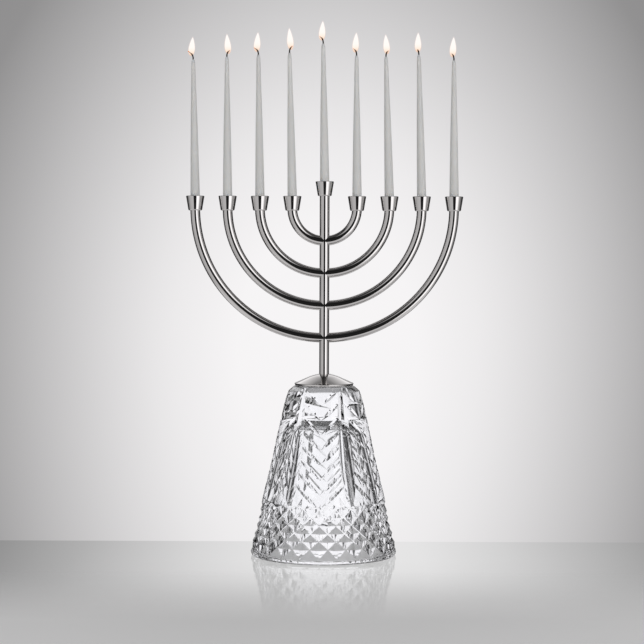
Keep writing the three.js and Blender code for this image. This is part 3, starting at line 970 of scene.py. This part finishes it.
def table_white():
    """Pale satin, with a soft reflection, and painted light that is brightest along the middle of its far
    part; seen through the glass that painted light is dimmer, a painted shade under the crystal.
    """
    material, tree, shader = new_material("table_white")
    cloud = noise_texture(tree, 3.0, 2.0)
    vary(tree, shader.inputs["Base Color"], cloud, [(0.3, grey(0.865)), (0.7, grey(0.885))])
    shader.inputs["Specular IOR Level"].default_value = 0.0
    shader.inputs["Roughness"].default_value = 0.5
    x, y, _ = axes(tree, "Object")

    # painted light: an emission on the table's far part, brightest in the middle, fading towards the viewer
    painted_glow = tree.nodes.new("ShaderNodeEmission")
    tree.links.new(levels(tree, x, -GLOW_REACH, GLOW_REACH, TABLE_PAINTED_GLOW), painted_glow.inputs["Color"])
    mirror = tree.nodes.new("ShaderNodeBsdfGlossy")
    mirror.inputs["Color"].default_value = (0.97, 0.97, 0.97, 1.0)
    mirror.inputs["Roughness"].default_value = 0.05
    far = blended(tree, None, painted_glow.outputs["Emission"], mirror.outputs["BSDF"], MIRROR_SHARE)

    fade = levels(tree, y, FADE_START, FADE_END, TABLE_FADE)
    path = tree.nodes.new("ShaderNodeLightPath")
    # painted shade under the crystal: seen through the glass, the painted light drops to 40%
    painted_shade_through_glass = levels(tree, path.outputs["Is Transmission Ray"], 0.0, 1.0, [(0.0, 1.0), (1.0, 0.40)])
    share = tree.nodes.new("ShaderNodeMath")
    share.operation = "MULTIPLY"
    tree.links.new(fade, share.inputs[0])
    tree.links.new(painted_shade_through_glass, share.inputs[1])
    surface = blended(tree, share.outputs["Value"], shader.outputs["BSDF"], far)
    tree.links.new(surface, tree.nodes["Material Output"].inputs["Surface"])
    return material


def make_table():
    """A table top that ends just behind the object."""
    near = [(-TABLE_REACH, TABLE_NEAR_EDGE), (TABLE_REACH, TABLE_NEAR_EDGE)]
    far = [(TABLE_REACH, TABLE_FAR_EDGE), (-TABLE_REACH, TABLE_FAR_EDGE)]
    vertices = [Vector((x, y, z)) for z in (-TABLE_THICKNESS, 0) for x, y in near + far]
    faces = [[3, 2, 1, 0], [4, 5, 6, 7], [0, 1, 5, 4], [1, 2, 6, 5], [2, 3, 7, 6], [3, 0, 4, 7]]
    table = add_mesh("table_top", vertices, faces, table_white())
    table.visible_glossy = False


# ---------------------------------------- surroundings
SPOT_ASIDE, SPOT_BELOW = 0.0026, 0.0472
# brightness of the backdrop by distance from its spot, as the tangent of the angle between them
SPOT_LEVELS = [
    (0.0, 0.93), (0.047, 0.922), (0.0796, 0.843), (0.0916, 0.80), (0.1126, 0.708), (0.1335, 0.61),
    (0.1545, 0.512), (0.1696, 0.44), (0.204, 0.287), (0.235, 0.27), (0.30, 0.55), (0.5, 0.62),
]
WARM, COOL = (1.0, 0.984, 0.992), (1.020, 1.012, 1.042)

# What the metal mirrors, by azimuth in degrees: in front a dim panel, a dark gap and a bright panel. Behind,
# the level surroundings are dark, which outlines upright metal, and the raised ones are bright.
FRONT_PANELS = [
    (-96, 0.26), (-80, 0.42), (-61, 0.49), (-30, 0.54), (-20, 0.54), (-17.5, 0.015),
    (19.5, 0.015), (22, 1.30), (50, 1.25), (62, 0.60), (75, 0.32), (95, 0.20),
]
AROUND_LEVEL = [
    (-180, 0.12), (-164, 0.03), (-114, 0.03), *FRONT_PANELS, (114, 0.03), (164, 0.03), (180, 0.12),
]
AROUND_RAISED = [
    (-180, 0.95), (-160, 0.80), (-148, 0.03), (-116, 0.03), *FRONT_PANELS,
    (116, 0.03), (148, 0.03), (160, 0.80), (180, 0.95),
]
# the rest by elevation in degrees
RAISED = [(9, 0.0), (16, 1.0)]
OVERHEAD_FRONT = [(-90, 1.0), (28, 1.0), (46, 0.06), (90, 0.08)]
OVERHEAD_BACK = [
    (-90, 1.0), (0, 1.0), (20, 1.2), (24, 1.2), (30, 0.95), (40, 0.70), (48, 0.46), (52, 0.28), (58, 0.08),
    (90, 0.06),
]
CEILING = [(42, 0.0), (56, 0.05), (90, 0.055)]
TABLE_MIRRORED = [(-90, 0.28), (-74, 0.32), (-48, 0.62), (-30, 0.60)]
UNDER = [(-36, 1.0), (-30, 0.0)]
FROM_TABLE = [(4, 0.0), (7, 1.0)]

# What the crystal refracts, by angle in degrees off straight behind: a wide bright field between dark flags.
SIDES_FIELD = [(84, 0.04), (90, 0.05), (93, 0.56), (105, 0.67), (120, 0.83), (150, 0.98), (180, 1.0)]
FIELD_LEFT = [
    (0, 1.0), (32, 0.98), (38, 0.78), (43, 0.56), (45, 0.06), (51, 0.06), (54, 0.56), (58, 0.69), (61, 0.39),
    (63, 0.05), (71, 0.05), (74, 0.31), (79, 0.47), (82, 0.10), *SIDES_FIELD,
]
FIELD_RIGHT = [
    (0, 1.0), (32, 0.98), (36, 0.52), (39, 0.05), (46, 0.05), (49, 0.52), (56, 0.74), (59, 0.40), (61, 0.05),
    (70, 0.05), (73, 0.36), (79, 0.58), (82, 0.20), *SIDES_FIELD,
]
ASIDE = [(30, 0.0), (40, 1.0), (95, 1.0), (105, 0.0)]
# and by elevation: dark level slats at the sides, pale grey below, dark overhead
SLATS = [
    (-26, 1.0), (-24, 0.25), (-19, 0.25), (-17, 1.0), (11, 1.0), (12, 0.2), (17, 0.2), (18, 1.0), (27, 1.0),
    (29, 0.3), (34, 0.3), (36, 1.0),
]
FIELD_HEIGHT = [
    (-90, 0.30), (-48, 0.36), (-38, 0.90), (-12, 1.0), (33, 1.0), (41, 0.34), (52, 0.15), (64, 0.05),
    (90, 0.05),
]


class WorldNodes:
    """The world's tree, with the direction looked in and short ways to add nodes."""

    def __init__(self, tree):
        self.tree = tree
        self.x, self.y, self.z = axes(tree, "Generated")
        self.azimuth = self.math("DEGREES", self.math("ARCTAN2", self.x, self.math("MULTIPLY", self.y, -1.0)))
        self.elevation = self.math("DEGREES", self.math("ARCSINE", self.z))
        self.behind = levels(tree, self.y, -1.0, 1.0, [(-0.05, 0.0), (0.05, 1.0)])

    def join(self, socket, value):
        """Feeds a socket from another one, or sets it to a number, which is a grey in a colour socket."""
        if not isinstance(value, (int, float)):
            self.tree.links.new(value, socket)
        elif socket.type == "RGBA":
            socket.default_value = (*grey(value), 1.0)
        else:
            socket.default_value = value

    def math(self, operation, *values):
        node = self.tree.nodes.new("ShaderNodeMath")
        node.operation = operation
        for socket, value in zip(node.inputs, values):
            self.join(socket, value)
        return node.outputs["Value"]

    def mix(self, factor, a, b, blend="MIX"):
        node = self.tree.nodes.new("ShaderNodeMix")
        node.data_type = "RGBA"
        node.blend_type = blend
        colours = [socket for socket in node.inputs if socket.type == "RGBA"]
        for socket, value in zip([node.inputs["Factor"], *colours], (factor, a, b)):
            self.join(socket, value)
        return next(socket for socket in node.outputs if socket.type == "RGBA")

    def by_azimuth(self, stops):
        return levels(self.tree, self.azimuth, -180, 180, stops)

    def by_elevation(self, stops):
        return levels(self.tree, self.elevation, -90, 90, stops)


def off_spot(world, upward):
    """How far off the backdrop's bright spot a direction points; up and down count less."""
    ahead = world.math("MAXIMUM", world.y, 0.02)
    across = world.math("SUBTRACT", world.math("DIVIDE", world.x, ahead), SPOT_ASIDE)
    rise = world.math("ADD", world.math("DIVIDE", upward, ahead), SPOT_BELOW)
    above = world.math("MULTIPLY", world.math("MAXIMUM", rise, 0.0), 0.75)
    below = world.math("MULTIPLY", world.math("MINIMUM", rise, 0.0), 0.60)
    height = world.math("ADD", above, below)
    squares = [world.math("POWER", side, 2.0) for side in (across, height)]
    return world.math("SQRT", world.math("ADD", *squares))


def backdrop(world, distance):
    return levels(world.tree, distance, 0.0, 0.5, SPOT_LEVELS)


def metal_surroundings(world):
    """Soft panels to the sides, a dark ceiling and dark gaps, with the backdrop mirrored near the axis."""
    level, raised = world.by_azimuth(AROUND_LEVEL), world.by_azimuth(AROUND_RAISED)
    around = world.mix(world.by_elevation(RAISED), level, raised)
    front, back = world.by_elevation(OVERHEAD_FRONT), world.by_elevation(OVERHEAD_BACK)
    overhead = world.mix(world.behind, front, back)
    panels = world.math("MAXIMUM", world.math("MULTIPLY", around, overhead), world.by_elevation(CEILING))
    panels = world.mix(world.by_elevation(UNDER), panels, world.by_elevation(TABLE_MIRRORED))
    distance = off_spot(world, world.math("MULTIPLY", world.math("ABSOLUTE", world.z), -1.0))
    near_axis = levels(world.tree, distance, 0.0, 0.5, [(0.22, 1.0), (0.30, 0.0)])
    near_axis = world.math("MULTIPLY", near_axis, world.behind)
    near_axis = world.math("MULTIPLY", near_axis, world.by_elevation(FROM_TABLE))
    return world.mix(near_axis, panels, backdrop(world, distance))


def crystal_surroundings(world):
    """A wide bright field behind, dark flags at the sides, pale grey below."""
    off_behind = world.math("SUBTRACT", 180.0, world.math("ABSOLUTE", world.azimuth))
    left, right, aside = (levels(world.tree, off_behind, 0, 180, s) for s in (FIELD_LEFT, FIELD_RIGHT, ASIDE))
    field = world.mix(world.math("GREATER_THAN", world.x, 0.0), left, right)
    field = world.math("MULTIPLY", field, world.mix(aside, 1.0, world.by_elevation(SLATS)))
    return world.math("MULTIPLY", field, world.by_elevation(FIELD_HEIGHT))


def make_world():
    """Studio surroundings: the backdrop as seen, what the metal mirrors and what the crystal refracts."""
    studio = bpy.data.worlds.new("studio")
    bpy.context.scene.world = studio
    studio.use_nodes = True
    tree = studio.node_tree
    world = WorldNodes(tree)
    path = tree.nodes.new("ShaderNodeLightPath")
    refracted = path.outputs["Is Transmission Ray"]
    colour = world.mix(refracted, metal_surroundings(world), crystal_surroundings(world))
    colour = world.mix(path.outputs["Is Camera Ray"], colour, backdrop(world, off_spot(world, world.z)))
    tint = ramp(tree, refracted, [(0.0, WARM), (1.0, COOL)])
    tree.links.new(world.mix(1.0, colour, tint, "MULTIPLY"), tree.nodes["Background"].inputs["Color"])


# ---------------------------------------- lights and camera, in metres
LIGHT_SIZE = 1.2
LIGHTS_AIM = Vector((0, 0, 0.35))
EYE = Vector((-0.0023, -1.95, 0.307))
AIM_HEIGHT = 0.2385
LENS = 106.7
SENSOR_WIDTH = 36.0
CAMERA_ROLL = 0.2


def soft_light(name, location, power):
    """A soft light that brightens matt surfaces only: mirrors and glass see the world's own panels."""
    light = bpy.data.lights.new(name, "AREA")
    light.shape = "DISK"
    light.size = LIGHT_SIZE
    light.energy = power
    lamp = bpy.data.objects.new(name, light)
    bpy.context.scene.collection.objects.link(lamp)
    lamp.location = location
    lamp.rotation_euler = (LIGHTS_AIM - lamp.location).to_track_quat("-Z", "Y").to_euler()
    lamp.visible_camera = False
    lamp.visible_glossy = False
    lamp.visible_transmission = False


def make_camera():
    """A little above the middle of the tree, far back on a long lens, tipped down two degrees."""
    camera = bpy.data.objects.new("camera", bpy.data.cameras.new("camera"))
    bpy.context.scene.collection.objects.link(camera)
    camera.data.lens = LENS
    camera.data.sensor_width = SENSOR_WIDTH
    camera.location = EYE
    aim = Vector((EYE.x, 0.0, AIM_HEIGHT))
    roll = Quaternion((0, 0, 1), math.radians(CAMERA_ROLL))
    camera.rotation_euler = ((aim - EYE).to_track_quat("-Z", "Y") @ roll).to_euler()
    bpy.context.scene.camera = camera
    bpy.context.scene.view_settings.view_transform = "Standard"


# ---------------------------------------- the scene
METAL, STEEL = satin_metal(), plain_steel()
CANDLE_MATERIALS = (white_wax(), charred_cotton(), flame_core(), flame_mantle())
make_camera()
make_crystal(crystal_glass())
make_cap(METAL, STEEL, cured_adhesive())
make_tree(METAL)
for cup_number in CANDLE_NUMBERS:
    make_cup(cup_number, METAL)
make_fasteners(STEEL)
for candle_number in CANDLE_NUMBERS:
    make_candle(candle_number, *CANDLE_MATERIALS)
make_table()
make_world()
soft_light("soft_right", (1.6, -1.6, 1.1), 25.0)
soft_light("soft_left", (-1.6, -1.6, 0.9), 20.0)
